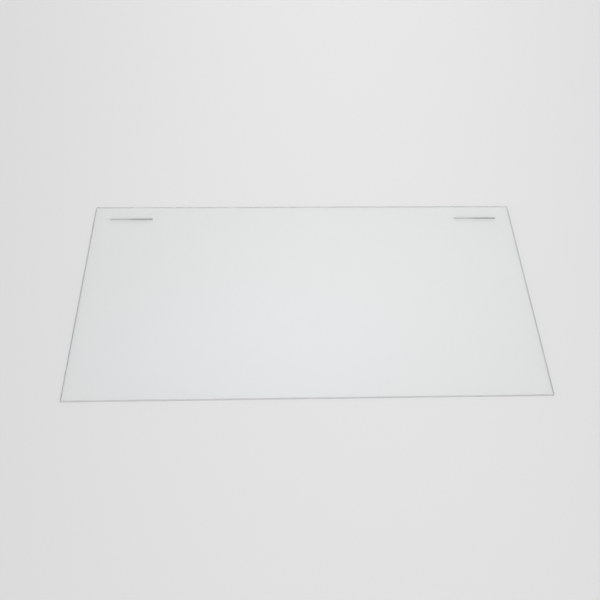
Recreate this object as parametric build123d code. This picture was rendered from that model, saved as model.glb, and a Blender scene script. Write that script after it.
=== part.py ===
"""Glass shelf of a fridge: one sheet of toughened float glass with a ground pencil edge all round.

The sheet lies flat, as it does on the ledges of the fridge. X runs along its width, Y from its front
edge to its rear edge, and Z up. The origin is at the centre of its underside.
"""

import os

from build123d import *

# Driving dimensions, in millimetres.
SHELF_WIDTH = 520.0  # left to right, over the ground edges
SHELF_DEPTH = 256.0  # front to rear, over the ground edges
GLASS_THICKNESS = 4.0
EDGE_CROWN = 1.0  # how far the pencil edge bulges out past the flat faces
FACE_CORNER_RADIUS = 0.6  # corners of the flat faces, where the pencil edge begins

PARTS_FOLDER = "parts"
UP = Vector(0, 0, 1)


def flat_face() -> Sketch:
    """Flat underside of the sheet, a rectangle with dubbed corners that ends where the ground edge begins."""
    return RectangleRounded(
        SHELF_WIDTH - 2 * EDGE_CROWN,
        SHELF_DEPTH - 2 * EDGE_CROWN,
        FACE_CORNER_RADIUS,
    )


def pencil_edge_section(start: Vector, along: Vector) -> Sketch:
    """Section of the ground edge: an arc from face to face that crowns at half the thickness.

    It stands upright at the point start of the face's outline, across the direction along.
    """
    outward = along.cross(UP)
    if outward.dot(start) < 0:
        outward = -outward
    upright = Plane(origin=start, x_dir=outward, z_dir=outward.cross(UP))
    with BuildSketch(upright) as section:
        with BuildLine():
            Line((0, 0), (0, GLASS_THICKNESS))
            ThreePointArc((0, GLASS_THICKNESS), (EDGE_CROWN, GLASS_THICKNESS / 2), (0, 0))
        make_face()
    return section.sketch


def glass_shelf() -> Part:
    """The whole sheet: the flat pane, and the pencil edge run round its outline."""
    face = flat_face()
    outline = face.wire()
    pane = extrude(face, GLASS_THICKNESS)
    pencil_edge = sweep(pencil_edge_section(outline @ 0, outline % 0), path=outline)
    return pane + pencil_edge


def main() -> None:
    """Builds the sheet and writes it as one STEP file."""
    os.makedirs(PARTS_FOLDER, exist_ok=True)
    shelf = glass_shelf()
    shelf.label = "glass_shelf"
    export_step(shelf, os.path.join(PARTS_FOLDER, "glass_shelf.step"))


main()
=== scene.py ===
"""Looks of a fridge's glass shelf: a sheet of clear float glass with a ground pencil edge, on a pale floor.

Lengths are in metres and angles in degrees. X runs along the shelf's width, Y from its front edge to its
rear edge, and Z up.
"""

import logging
import math
from dataclasses import dataclass
from enum import Enum

import bmesh
import bpy
from mathutils import Matrix, Vector


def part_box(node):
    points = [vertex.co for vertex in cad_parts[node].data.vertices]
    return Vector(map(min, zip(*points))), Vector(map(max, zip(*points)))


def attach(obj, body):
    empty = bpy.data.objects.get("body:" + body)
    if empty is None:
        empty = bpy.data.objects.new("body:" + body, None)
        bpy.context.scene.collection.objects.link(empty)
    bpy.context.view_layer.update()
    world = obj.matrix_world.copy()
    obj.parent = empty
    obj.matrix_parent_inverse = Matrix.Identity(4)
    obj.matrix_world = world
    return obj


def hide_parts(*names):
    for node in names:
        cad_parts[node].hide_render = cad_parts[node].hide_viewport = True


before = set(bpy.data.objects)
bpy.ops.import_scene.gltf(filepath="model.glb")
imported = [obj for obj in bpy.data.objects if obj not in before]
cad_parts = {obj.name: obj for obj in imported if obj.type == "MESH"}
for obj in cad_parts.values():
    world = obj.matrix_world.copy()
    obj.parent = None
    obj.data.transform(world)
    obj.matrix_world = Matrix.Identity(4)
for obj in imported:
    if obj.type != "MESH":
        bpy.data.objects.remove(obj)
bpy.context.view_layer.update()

LOG = logging.getLogger("fridge_glass_shelf")
Colour = tuple[float, float, float]
Place = tuple[float, float, float]

MM = 0.001
WELD = 1e-6  # vertices that are closer than this become one
WHITE = (1.0, 1.0, 1.0, 1.0)
SHELF_NODE = "glass_shelf"
SHELF_BODY = "root"

# Most of a noise's values lie between these two.
NOISE_DARK = 0.3
NOISE_BRIGHT = 0.7

# Sockets of a Mix node that mixes colours.
MIX_FIRST = 6
MIX_SECOND = 7
MIX_RESULT = 2


class Rays(Enum):
    """Kinds of ray, by the names that Light Path has for them."""

    LIGHTING = ("Is Diffuse Ray", "Is Shadow Ray")
    CAMERA = ("Is Camera Ray",)
    GLASS = ("Is Glossy Ray", "Is Transmission Ray")


class SheetSurface(Enum):
    """The surfaces of the sheet that differ in finish, as numbers of its materials."""

    FACE = 0
    LONG_EDGE = 1
    SHORT_EDGE = 2


class Side(Enum):
    """The rear corner that a printed rule stands at."""

    LEFT = "left"
    RIGHT = "right"


class InkTone(Enum):
    """The two greys of a printed rule, as numbers of its materials."""

    PALE = 0
    DARK = 1


def new_object(name: str, mesh: bmesh.types.BMesh) -> bpy.types.Object:
    """Puts a finished mesh into the scene.

    Args:
        name: The object's name.
        mesh: The mesh, which is used up.

    Returns:
        The object, which stands at the origin.
    """
    data = bpy.data.meshes.new(name)
    mesh.to_mesh(data)
    mesh.free()
    made = bpy.data.objects.new(name, data)
    bpy.context.scene.collection.objects.link(made)
    return made


def shader_node(tree: bpy.types.NodeTree, kind: str, **settings: object) -> bpy.types.Node:
    """Adds a node to a material.

    Args:
        tree: The material's node tree.
        kind: Blender's name for the node's type.
        settings: Attributes to set on the new node.

    Returns:
        The new node.
    """
    node = tree.nodes.new(kind)
    for name, value in settings.items():
        setattr(node, name, value)
    return node


def empty_material(name: str) -> tuple[bpy.types.Material, bpy.types.Node]:
    """Makes a material that holds one Principled shader.

    Args:
        name: The material's name.

    Returns:
        The material, and its Principled node.
    """
    material = bpy.data.materials.new(name)
    material.use_nodes = True
    return material, material.node_tree.nodes["Principled BSDF"]


def object_pattern(
    tree: bpy.types.NodeTree, scale: tuple[float, float, float], detail: float
) -> bpy.types.NodeSocket:
    """Noise on the piece's own coordinates.

    Args:
        tree: The material's node tree.
        scale: How many waves of the noise there are in a metre, along X, Y and Z.
        detail: How many finer octaves the noise has.

    Returns:
        The socket of the noise's value, from 0 to 1.
    """
    place = shader_node(tree, "ShaderNodeTexCoord")
    mapping = shader_node(tree, "ShaderNodeMapping")
    mapping.inputs["Scale"].default_value = scale
    noise = shader_node(tree, "ShaderNodeTexNoise")
    noise.inputs["Scale"].default_value = 1.0
    noise.inputs["Detail"].default_value = detail
    tree.links.new(place.outputs["Object"], mapping.inputs["Vector"])
    tree.links.new(mapping.outputs["Vector"], noise.inputs["Vector"])
    return noise.outputs["Fac"]


def spread(
    tree: bpy.types.NodeTree, source: bpy.types.NodeSocket, low: float, high: float
) -> bpy.types.NodeSocket:
    """Maps a noise on to a range of values.

    Args:
        tree: The material's node tree.
        source: The noise's value, from 0 to 1.
        low: What the noise's dark patches give.
        high: What its bright patches give.

    Returns:
        The socket of the mapped value.
    """
    mapped = shader_node(tree, "ShaderNodeMapRange")
    mapped.inputs["From Min"].default_value = NOISE_DARK
    mapped.inputs["From Max"].default_value = NOISE_BRIGHT
    mapped.inputs["To Min"].default_value = low
    mapped.inputs["To Max"].default_value = high
    tree.links.new(source, mapped.inputs["Value"])
    return mapped.outputs["Result"]


def blend_colours(
    tree: bpy.types.NodeTree, share: bpy.types.NodeSocket, first: Colour, second: Colour
) -> bpy.types.NodeSocket:
    """Goes from one colour to another.

    Args:
        tree: The material's node tree.
        share: The second colour's share, from 0 to 1.
        first: The colour at 0.
        second: The colour at 1.

    Returns:
        The socket of the blended colour.
    """
    blend = shader_node(tree, "ShaderNodeMix", data_type="RGBA")
    blend.inputs[MIX_FIRST].default_value = (*first, 1.0)
    blend.inputs[MIX_SECOND].default_value = (*second, 1.0)
    tree.links.new(share, blend.inputs["Factor"])
    return blend.outputs[MIX_RESULT]


def relief(
    tree: bpy.types.NodeTree, source: bpy.types.NodeSocket, height: float
) -> bpy.types.NodeSocket:
    """Turns a pattern into relief for a shader's normal.

    Args:
        tree: The material's node tree.
        source: The pattern's value, from 0 to 1.
        height: How far its bright patches stand above its dark ones.

    Returns:
        The socket of the bumped normal.
    """
    bump = shader_node(tree, "ShaderNodeBump")
    bump.inputs["Distance"].default_value = height
    tree.links.new(source, bump.inputs["Height"])
    return bump.outputs["Normal"]


def swap_for_rays(
    tree: bpy.types.NodeTree,
    usual: bpy.types.NodeSocket,
    other: bpy.types.NodeSocket,
    rays: Rays,
) -> bpy.types.NodeSocket:
    """Swaps one shader for another on some kinds of ray.

    Args:
        tree: The material's or the world's node tree.
        usual: The shader that all the other rays meet.
        other: The shader that the named rays meet.
        rays: The rays that are named.

    Returns:
        The socket of the shader that does both.
    """
    path = shader_node(tree, "ShaderNodeLightPath")
    for ray in rays.value:
        swap = shader_node(tree, "ShaderNodeMixShader")
        tree.links.new(path.outputs[ray], swap.inputs["Fac"])
        tree.links.new(usual, swap.inputs[1])
        tree.links.new(other, swap.inputs[2])
        usual = swap.outputs["Shader"]
    return usual


@dataclass(frozen=True)
class GlassFinish:
    """Glass that bends what is seen through it, and lets the light fall through on to what is under it.

    The tint colours what is seen through one surface. What light one surface lets through is light_left.
    """

    name: str
    tint: Colour
    light_left: Colour
    refractive_index: float = 1.52

    def shader(self) -> tuple[bpy.types.Material, bpy.types.Node]:
        """Makes the glass, with its surface still plain.

        Returns:
            The material, and its Principled node.
        """
        material, glass = empty_material(self.name)
        tree = material.node_tree
        glass.inputs["Base Color"].default_value = (*self.tint, 1.0)
        glass.inputs["IOR"].default_value = self.refractive_index
        glass.inputs["Transmission Weight"].default_value = 1.0
        clear = shader_node(tree, "ShaderNodeBsdfTransparent")
        clear.inputs["Color"].default_value = (*self.light_left, 1.0)
        seen = swap_for_rays(tree, glass.outputs["BSDF"], clear.outputs["BSDF"], Rays.LIGHTING)
        tree.links.new(seen, tree.nodes["Material Output"].inputs["Surface"])
        return material, glass


@dataclass(frozen=True)
class ClearGlass(GlassFinish):
    """Float glass as its two fire-polished faces show it."""

    roughness: float = 0.0
    wave_length: float = 90 * MM
    wave_stretch: float = 5.0
    wave_height: float = 0.004 * MM
    wave_detail: float = 0.0

    def material(self) -> bpy.types.Material:
        """Makes clear glass with the faint waves that the rollers of a toughening furnace leave.

        Returns:
            The material.
        """
        material, glass = self.shader()
        tree = material.node_tree
        waves = 1.0 / self.wave_length
        pattern = object_pattern(tree, (waves, waves / self.wave_stretch, waves), self.wave_detail)
        glass.inputs["Roughness"].default_value = self.roughness
        tree.links.new(relief(tree, pattern, self.wave_height), glass.inputs["Normal"])
        return material


@dataclass(frozen=True)
class GroundEdge(GlassFinish):
    """Satin glass as a grinding wheel leaves it along an edge, with streaks counted to the metre."""

    roughness: tuple[float, float] = (0.66, 0.82)
    clear_share: float = 0.3
    streaks_along: float = 60.0
    streaks_across: float = 4000.0
    streak_contrast: float = 0.08
    streak_height: float = 0.003 * MM
    streak_detail: float = 3.0

    def material(self) -> bpy.types.Material:
        """Makes satin glass with fine grinding streaks that run along the edge.

        Returns:
            The material.
        """
        material, glass = self.shader()
        tree = material.node_tree
        scale = (self.streaks_along, self.streaks_along, self.streaks_across)
        pattern = object_pattern(tree, scale, self.streak_detail)
        dull = tuple(part * (1.0 - self.streak_contrast) for part in self.tint)
        bright = tuple(part * (1.0 + self.streak_contrast) for part in self.tint)
        streaks = blend_colours(tree, spread(tree, pattern, 0.0, 1.0), dull, bright)
        glass.inputs["Transmission Weight"].default_value = self.clear_share
        tree.links.new(streaks, glass.inputs["Base Color"])
        tree.links.new(spread(tree, pattern, *self.roughness), glass.inputs["Roughness"])
        tree.links.new(relief(tree, pattern, self.streak_height), glass.inputs["Normal"])
        return material


@dataclass(frozen=True)
class FiredInk:
    """Ceramic ink that was screened on to the glass and fired, with patterns counted to the metre."""

    name: str
    shade: float
    mottling: float = 0.12
    mottles: float = 900.0
    mottle_detail: float = 2.0
    roughness: tuple[float, float] = (0.32, 0.48)
    grain: float = 9000.0
    grain_detail: float = 1.0
    grain_height: float = 0.002 * MM

    def material(self) -> bpy.types.Material:
        """Makes satin ink, a little uneven in its grey, with a fine grain.

        Returns:
            The material.
        """
        material, ink = empty_material(self.name)
        tree = material.node_tree
        mottles = object_pattern(tree, (self.mottles,) * 3, self.mottle_detail)
        grain = object_pattern(tree, (self.grain,) * 3, self.grain_detail)
        low = self.shade * (1.0 - self.mottling)
        high = self.shade * (1.0 + self.mottling)
        tree.links.new(spread(tree, mottles, low, high), ink.inputs["Base Color"])
        tree.links.new(spread(tree, grain, *self.roughness), ink.inputs["Roughness"])
        tree.links.new(relief(tree, grain, self.grain_height), ink.inputs["Normal"])
        return material


@dataclass
class GlassSheet:
    """The shelf: one sheet of glass whose edge is ground to a flat arc all round."""

    low: Vector
    high: Vector
    crown: float = 1.0 * MM
    face_corner_radius: float = 0.6 * MM
    arc_steps: int = 14
    corner_steps: int = 10

    @property
    def thickness(self) -> float:
        """Thickness of the glass."""
        return self.high.z - self.low.z

    @property
    def corner_centre(self) -> Vector:
        """Foot of the upright axis that the ground edge turns about at the rear right corner."""
        inset = self.crown + self.face_corner_radius
        return Vector((self.high.x - inset, self.high.y - inset, self.low.z))

    @property
    def arc_radius(self) -> float:
        """Radius of the arc from face to face that crowns at half the thickness."""
        half = self.thickness / 2
        return (self.crown**2 + half**2) / (2 * self.crown)

    def spin_section(self, mesh: bmesh.types.BMesh) -> None:
        """Spins one vertex from the underside up to the top face, along the arc of the ground edge.

        Args:
            mesh: The empty mesh that the section goes into.
        """
        corner = self.corner_centre
        half = self.thickness / 2
        foot = mesh.verts.new((self.high.x - self.crown, corner.y, self.low.z))
        arc_centre = Vector((self.high.x - self.arc_radius, corner.y, self.low.z + half))
        bmesh.ops.spin(
            mesh,
            geom=[foot],
            cent=arc_centre,
            axis=(0.0, -1.0, 0.0),
            angle=2 * math.asin(half / self.arc_radius),
            steps=self.arc_steps,
        )

    def spin_corner(self, mesh: bmesh.types.BMesh) -> None:
        """Spins the section round the rear right corner, and draws both its ends out to the middle planes.

        Args:
            mesh: The mesh that holds the section alone.
        """
        corner = self.corner_centre
        side_end = mesh.edges[:]
        turned = bmesh.ops.spin(
            mesh,
            geom=mesh.verts[:] + side_end,
            cent=corner,
            axis=(0.0, 0.0, 1.0),
            angle=math.pi / 2,
            steps=self.corner_steps,
        )
        rear_end = [part for part in turned["geom_last"] if isinstance(part, bmesh.types.BMEdge)]
        for end, run in ((side_end, (0.0, -corner.y, 0.0)), (rear_end, (-corner.x, 0.0, 0.0))):
            drawn = bmesh.ops.extrude_edge_only(mesh, edges=end)["geom"]
            moved = [part for part in drawn if isinstance(part, bmesh.types.BMVert)]
            bmesh.ops.translate(mesh, verts=moved, vec=run)

    def edge_surface(self, face: bmesh.types.BMFace) -> SheetSurface:
        """Tells whether a face of the ground edge is on a long or a short side of the sheet.

        Args:
            face: A face of the ground edge.

        Returns:
            The surface of the side that the face looks out from.
        """
        if abs(face.normal.x) > abs(face.normal.y):
            return SheetSurface.SHORT_EDGE
        return SheetSurface.LONG_EDGE

    def build(self) -> bpy.types.Object:
        """Models the sheet, and marks its flat faces, its long edges and its short ones.

        Returns:
            The sheet's object.
        """
        mesh = bmesh.new()
        self.spin_section(mesh)
        self.spin_corner(mesh)
        for axis in "XY":
            quarter = mesh.verts[:] + mesh.edges[:] + mesh.faces[:]
            bmesh.ops.mirror(mesh, geom=quarter, matrix=Matrix.Identity(4), merge_dist=WELD, axis=axis)
        rims = [edge for edge in mesh.edges if edge.is_boundary]
        flat_faces = bmesh.ops.holes_fill(mesh, edges=rims, sides=0)["faces"]
        bmesh.ops.recalc_face_normals(mesh, faces=mesh.faces[:])
        for face in mesh.faces:
            face.material_index = self.edge_surface(face).value
            face.smooth = True
        for face in flat_faces:
            face.material_index = SheetSurface.FACE.value
            face.smooth = False
        for rim in rims:
            rim.smooth = False
        return new_object("glass_sheet", mesh)

    def dress(self, piece: bpy.types.Object) -> None:
        """Gives the sheet clear faces and ground edges. The short edges are a darker grey, as painted
        shade, and let less light through.

        Args:
            piece: The sheet's object.
        """
        finishes = {
            SheetSurface.FACE: ClearGlass(
                "clear_float_glass", tint=(0.987, 0.996, 0.992), light_left=(0.986, 0.991, 0.9895)
            ),
            SheetSurface.LONG_EDGE: GroundEdge(
                "long_ground_edge", tint=(0.544, 0.540, 0.551), light_left=(0.95, 0.95, 0.949)
            ),
            # The short edges' darker grey is painted shade: it darkens the lines along the short sides,
            # where the light leaves them darker.
            SheetSurface.SHORT_EDGE: GroundEdge(
                "short_ground_edge_painted_shade", tint=(0.522, 0.519, 0.520), light_left=(0.80, 0.80, 0.799)
            ),
        }
        for surface in SheetSurface:
            piece.data.materials.append(finishes[surface].material())
        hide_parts(SHELF_NODE)
        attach(piece, SHELF_BODY)


@dataclass
class PrintedRule:
    """A short rule of even ticks in two greys, printed on the top face near a rear corner."""

    side: Side
    low: Vector
    high: Vector
    side_inset: float = 20.5 * MM
    rear_inset: float = 20.0 * MM
    tick_width: float = 1.0 * MM
    tick_height: float = 2.6 * MM
    pitch: float = 2.0 * MM
    pale_ticks: int = 12
    dark_ticks: int = 14
    break_between: float = 1.5 * MM
    sunk: float = 0.01 * MM
    film: float = 0.02 * MM
    round_steps: int = 16

    def tick_places(self) -> list[tuple[InkTone, float]]:
        """Sets the ticks out from left to right, the pale ones first.

        Returns:
            Each tick's tone, and where along X its middle is.
        """
        dark_start = (self.pale_ticks - 1) * self.pitch + self.tick_width + self.break_between
        places = [(InkTone.PALE, step * self.pitch) for step in range(self.pale_ticks)]
        places += [(InkTone.DARK, dark_start + step * self.pitch) for step in range(self.dark_ticks)]
        if self.side is Side.LEFT:
            origin = self.low.x + self.side_inset + self.tick_width / 2
        else:
            origin = self.high.x - self.side_inset - self.tick_width / 2 - places[-1][1]
        return [(tone, origin + place) for tone, place in places]

    def print_tick(self, mesh: bmesh.types.BMesh, tone: InkTone, place: float) -> None:
        """Adds one upright tick with round ends, as a film that is sunk a little into the glass.

        Args:
            mesh: The rule's mesh.
            tone: The tick's grey.
            place: Where along X the tick's middle is.
        """
        stretch = self.tick_height - self.tick_width
        near_end = self.high.y - self.rear_inset - stretch / 2
        centre = Vector((place, near_end, self.high.z - self.sunk))
        half_step = Matrix.Rotation(math.pi / self.round_steps, 4, "Z")
        ring = bmesh.ops.create_circle(
            mesh,
            cap_ends=True,
            segments=self.round_steps,
            radius=self.tick_width / 2,
            matrix=Matrix.Translation(centre) @ half_step,
        )["verts"]
        far_end = [vertex for vertex in ring if vertex.co.y > centre.y]
        bmesh.ops.translate(mesh, verts=far_end, vec=(0.0, stretch, 0.0))
        raised = bmesh.ops.extrude_face_region(mesh, geom=list(ring[0].link_faces))["geom"]
        top = [part for part in raised if isinstance(part, bmesh.types.BMVert)]
        bmesh.ops.translate(mesh, verts=top, vec=(0.0, 0.0, self.sunk + self.film))
        for vertex in ring + top:
            for face in vertex.link_faces:
                face.material_index = tone.value

    def build(self) -> bpy.types.Object:
        """Models the rule.

        Returns:
            The rule's object.
        """
        mesh = bmesh.new()
        for tone, place in self.tick_places():
            self.print_tick(mesh, tone, place)
        bmesh.ops.recalc_face_normals(mesh, faces=mesh.faces[:])
        return new_object(f"printed_rule_{self.side.value}", mesh)

    def dress(self, piece: bpy.types.Object, inks: dict[InkTone, bpy.types.Material]) -> None:
        """Gives the rule its two inks and fixes it to the sheet.

        Args:
            piece: The rule's object.
            inks: The material of each grey.
        """
        for tone in InkTone:
            piece.data.materials.append(inks[tone])
        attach(piece, SHELF_BODY)


@dataclass(frozen=True)
class Glow:
    """A soft bright patch of the dome, which fades out round the direction that it lies in."""

    toward: Place
    full_within: float
    gone_beyond: float
    level: float

    def shader(self, tree: bpy.types.NodeTree) -> bpy.types.NodeSocket:
        """Adds the patch to the dome.

        Args:
            tree: The world's node tree.

        Returns:
            The socket of the patch's light.
        """
        sky = shader_node(tree, "ShaderNodeTexCoord")
        nearness = shader_node(tree, "ShaderNodeVectorMath", operation="DOT_PRODUCT")
        nearness.inputs[1].default_value = Vector(self.toward).normalized()
        fade = shader_node(tree, "ShaderNodeMapRange", interpolation_type="SMOOTHSTEP")
        fade.inputs["From Min"].default_value = math.cos(math.radians(self.gone_beyond))
        fade.inputs["From Max"].default_value = math.cos(math.radians(self.full_within))
        fade.inputs["To Max"].default_value = self.level
        light = shader_node(tree, "ShaderNodeBackground")
        light.inputs["Color"].default_value = WHITE
        tree.links.new(sky.outputs["Generated"], nearness.inputs[0])
        tree.links.new(nearness.outputs["Value"], fade.inputs["Value"])
        tree.links.new(fade.outputs["Result"], light.inputs["Strength"])
        return light.outputs["Background"]


@dataclass(frozen=True)
class Dome:
    """Soft light from all round and from the front, before a backdrop as pale as the far floor.

    The camera and the glass see the backdrop, with a pale window here and there for the glass to mirror.
    """

    even_light: Colour = (0.385, 0.385, 0.385)
    front_light: Glow = Glow(toward=(-0.15, -0.85, 0.50), full_within=10.0, gone_beyond=55.0, level=1.45)
    backdrop: Colour = (0.646, 0.644, 0.634)
    window_bearings: tuple[float, ...] = (35.0, 110.0, 205.0, 318.0)
    window_height: float = 22.0
    window_spread: tuple[float, float] = (3.0, 20.0)
    window_level: float = 0.35

    def windows(self) -> list[Glow]:
        """Sets the windows out round the backdrop.

        Returns:
            The glow of each window.
        """
        rise = math.radians(self.window_height)
        glows = []
        for bearing in self.window_bearings:
            turn = math.radians(bearing)
            toward = (math.cos(turn) * math.cos(rise), math.sin(turn) * math.cos(rise), math.sin(rise))
            glows.append(Glow(toward, *self.window_spread, self.window_level))
        return glows

    def layer(
        self, tree: bpy.types.NodeTree, base: bpy.types.Node, colour: Colour, glows: list[Glow]
    ) -> bpy.types.NodeSocket:
        """Sets an even light and adds glows to it.

        Args:
            tree: The world's node tree.
            base: The Background node of the even light.
            colour: Colour of the even light.
            glows: The patches that are brighter.

        Returns:
            The socket of the sum.
        """
        base.inputs["Color"].default_value = (*colour, 1.0)
        base.inputs["Strength"].default_value = 1.0
        light = base.outputs["Background"]
        for glow in glows:
            both = shader_node(tree, "ShaderNodeAddShader")
            tree.links.new(light, both.inputs[0])
            tree.links.new(glow.shader(tree), both.inputs[1])
            light = both.outputs["Shader"]
        return light

    def light(self) -> None:
        """Lights the scene and hangs the backdrop."""
        world = bpy.data.worlds.new("dome")
        world.use_nodes = True
        tree = world.node_tree
        light = self.layer(tree, tree.nodes["Background"], self.even_light, [self.front_light])
        plain = shader_node(tree, "ShaderNodeBackground")
        mirrored = self.layer(tree, plain, self.backdrop, self.windows())
        dome = swap_for_rays(tree, light, plain.outputs["Background"], Rays.CAMERA)
        dome = swap_for_rays(tree, dome, mirrored, Rays.GLASS)
        tree.links.new(dome, tree.nodes["World Output"].inputs["Surface"])
        bpy.context.scene.world = world


@dataclass(frozen=True)
class SoftBox:
    """A wide panel of gauze that hangs level over the sheet, and whose glow fades out to its rim."""

    name: str
    centre: Place
    reach: tuple[float, float]
    level: float
    tint: Colour

    def hang(self) -> None:
        """Hangs the panel, where no camera sees it but the glass mirrors it."""
        mesh = bmesh.new()
        spread_out = Matrix.Diagonal((*self.reach, 1.0, 1.0))
        bmesh.ops.create_grid(
            mesh,
            x_segments=1,
            y_segments=1,
            size=1.0,
            matrix=Matrix.Translation(self.centre) @ spread_out,
        )
        panel = new_object(self.name, mesh)
        panel.visible_camera = False
        panel.data.materials.append(self.material())

    def material(self) -> bpy.types.Material:
        """Makes clear gauze with a glow that is full at the panel's centre and fades out to its rim.

        Returns:
            The material.
        """
        material = bpy.data.materials.new(f"{self.name}_gauze")
        material.use_nodes = True
        tree = material.node_tree
        tree.nodes.remove(tree.nodes["Principled BSDF"])
        place = shader_node(tree, "ShaderNodeTexCoord")
        # The panel's coordinates go from 0 to 1 across it, and the gradient needs them from -1 to 1.
        mapping = shader_node(tree, "ShaderNodeMapping")
        mapping.inputs["Location"].default_value = (-1.0, -1.0, 0.0)
        mapping.inputs["Scale"].default_value = (2.0, 2.0, 0.0)
        fade = shader_node(tree, "ShaderNodeTexGradient", gradient_type="SPHERICAL")
        strength = shader_node(tree, "ShaderNodeMapRange", interpolation_type="SMOOTHSTEP")
        strength.inputs["To Max"].default_value = self.level
        glow = shader_node(tree, "ShaderNodeEmission")
        glow.inputs["Color"].default_value = (*self.tint, 1.0)
        gauze = shader_node(tree, "ShaderNodeBsdfTransparent")
        both = shader_node(tree, "ShaderNodeAddShader")
        tree.links.new(place.outputs["Generated"], mapping.inputs["Vector"])
        tree.links.new(mapping.outputs["Vector"], fade.inputs["Vector"])
        tree.links.new(fade.outputs["Fac"], strength.inputs["Value"])
        tree.links.new(strength.outputs["Result"], glow.inputs["Strength"])
        tree.links.new(glow.outputs["Emission"], both.inputs[0])
        tree.links.new(gauze.outputs["BSDF"], both.inputs[1])
        tree.links.new(both.outputs["Shader"], tree.nodes["Material Output"].inputs["Surface"])
        return material


@dataclass(frozen=True)
class KeyLamp:
    """A long strip lamp overhead that runs from front to rear, so that its light falls off to the sides."""

    stand: Place = (0.06, 0.12, 0.80)
    width: float = 0.30
    length: float = 2.2
    power: float = 3.3

    def place(self) -> None:
        """Hangs the lamp, lens down, where neither the camera nor the glass shows it."""
        data = bpy.data.lights.new("key_lamp", "AREA")
        data.shape = "RECTANGLE"
        data.size = self.width
        data.size_y = self.length
        data.energy = self.power
        lamp = bpy.data.objects.new("key_lamp", data)
        lamp.matrix_world = Matrix.Translation(self.stand)
        lamp.visible_camera = False
        lamp.visible_glossy = False
        lamp.visible_transmission = False
        bpy.context.scene.collection.objects.link(lamp)


@dataclass(frozen=True)
class Floor:
    """The pale floor just under the sheet, painted paler further out as painted light, where the lamp and
    soft boxes no longer reach.
    """

    near_colour: Colour = (0.79, 0.788, 0.782)
    # Painted light: the far floor is paler to make up for the lamp and soft-box light that does not reach
    # it.
    far_painted_light_colour: Colour = (0.972, 0.968, 0.954)
    near_reach: float = 0.3
    far_reach: float = 1.9
    shine: float = 0.0
    drop: float = 0.25 * MM
    reach: float = 60.0

    def lay(self) -> None:
        """Lays the floor."""
        mesh = bmesh.new()
        bmesh.ops.create_grid(
            mesh,
            x_segments=1,
            y_segments=1,
            size=self.reach,
            matrix=Matrix.Translation((0.0, 0.0, -self.drop)),
        )
        floor = new_object("floor", mesh)
        floor.data.materials.append(self.material())

    def material(self) -> bpy.types.Material:
        """Makes matt paint that pales with the distance from the sheet, as painted light for the lamp's
        light that falls off.

        Returns:
            The paint.
        """
        material, paint = empty_material("floor_paint")
        tree = material.node_tree
        paint.inputs["Specular IOR Level"].default_value = self.shine
        place = shader_node(tree, "ShaderNodeTexCoord")
        distance = shader_node(tree, "ShaderNodeVectorMath", operation="LENGTH")
        fade = shader_node(tree, "ShaderNodeMapRange", interpolation_type="SMOOTHSTEP")
        fade.inputs["From Min"].default_value = self.near_reach
        fade.inputs["From Max"].default_value = self.far_reach
        tree.links.new(place.outputs["Object"], distance.inputs[0])
        tree.links.new(distance.outputs["Value"], fade.inputs["Value"])
        colour = blend_colours(tree, fade.outputs["Result"], self.near_colour, self.far_painted_light_colour)
        tree.links.new(colour, paint.inputs["Base Color"])
        return material


@dataclass(frozen=True)
class PhotoCamera:
    """The camera of the photograph, rolled a little anticlockwise."""

    stand: Place = (-0.03056, -0.35062, 0.59226)
    aim: Place = (-0.00819, -0.00787, 0.0021)
    roll: float = 2.775
    lens: float = 35.62
    sensor: float = 36.0
    clear_from: float = 0.01
    clear_to: float = 100.0

    def place(self) -> None:
        """Stands the camera up and makes it the scene's camera."""
        data = bpy.data.cameras.new("camera")
        data.lens = self.lens
        data.sensor_width = self.sensor
        data.clip_start = self.clear_from
        data.clip_end = self.clear_to
        camera = bpy.data.objects.new("camera", data)
        sight = Vector(self.aim) - Vector(self.stand)
        turn = sight.to_track_quat("-Z", "Y").to_matrix().to_4x4()
        roll = Matrix.Rotation(math.radians(self.roll), 4, "Z")
        camera.matrix_world = Matrix.Translation(self.stand) @ turn @ roll
        bpy.context.scene.collection.objects.link(camera)
        bpy.context.scene.camera = camera


def light_studio() -> None:
    """Lays the floor and sets the lights round the shelf."""
    Floor().lay()
    Dome().light()
    SoftBox(
        "white_soft_box",
        centre=(0.15, 0.55, 1.0),
        reach=(0.95, 0.75),
        level=0.52,
        tint=(0.98, 1.0, 1.01),
    ).hang()
    SoftBox(
        "blue_soft_box",
        centre=(-0.12, 0.36, 0.98),
        reach=(0.80, 0.42),
        level=0.13,
        tint=(0.60, 0.50, 1.80),
    ).hang()
    KeyLamp().place()


def main() -> None:
    """Builds and dresses the shelf, then sets the studio and the camera round it."""
    logging.basicConfig(level=logging.INFO)
    bpy.context.scene.view_settings.view_transform = "Standard"
    sheet = GlassSheet(*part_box(SHELF_NODE))
    piece = sheet.build()
    sheet.dress(piece)
    LOG.info("%s: %d faces", piece.name, len(piece.data.polygons))
    inks = {
        InkTone.PALE: FiredInk("pale_fired_ink", shade=0.33).material(),
        InkTone.DARK: FiredInk("dark_fired_ink", shade=0.05).material(),
    }
    for side in Side:
        rule = PrintedRule(side, sheet.low, sheet.high)
        piece = rule.build()
        rule.dress(piece, inks)
        LOG.info("%s: %d faces", piece.name, len(piece.data.polygons))
    light_studio()
    PhotoCamera().place()


if __name__ == "__main__":
    main()
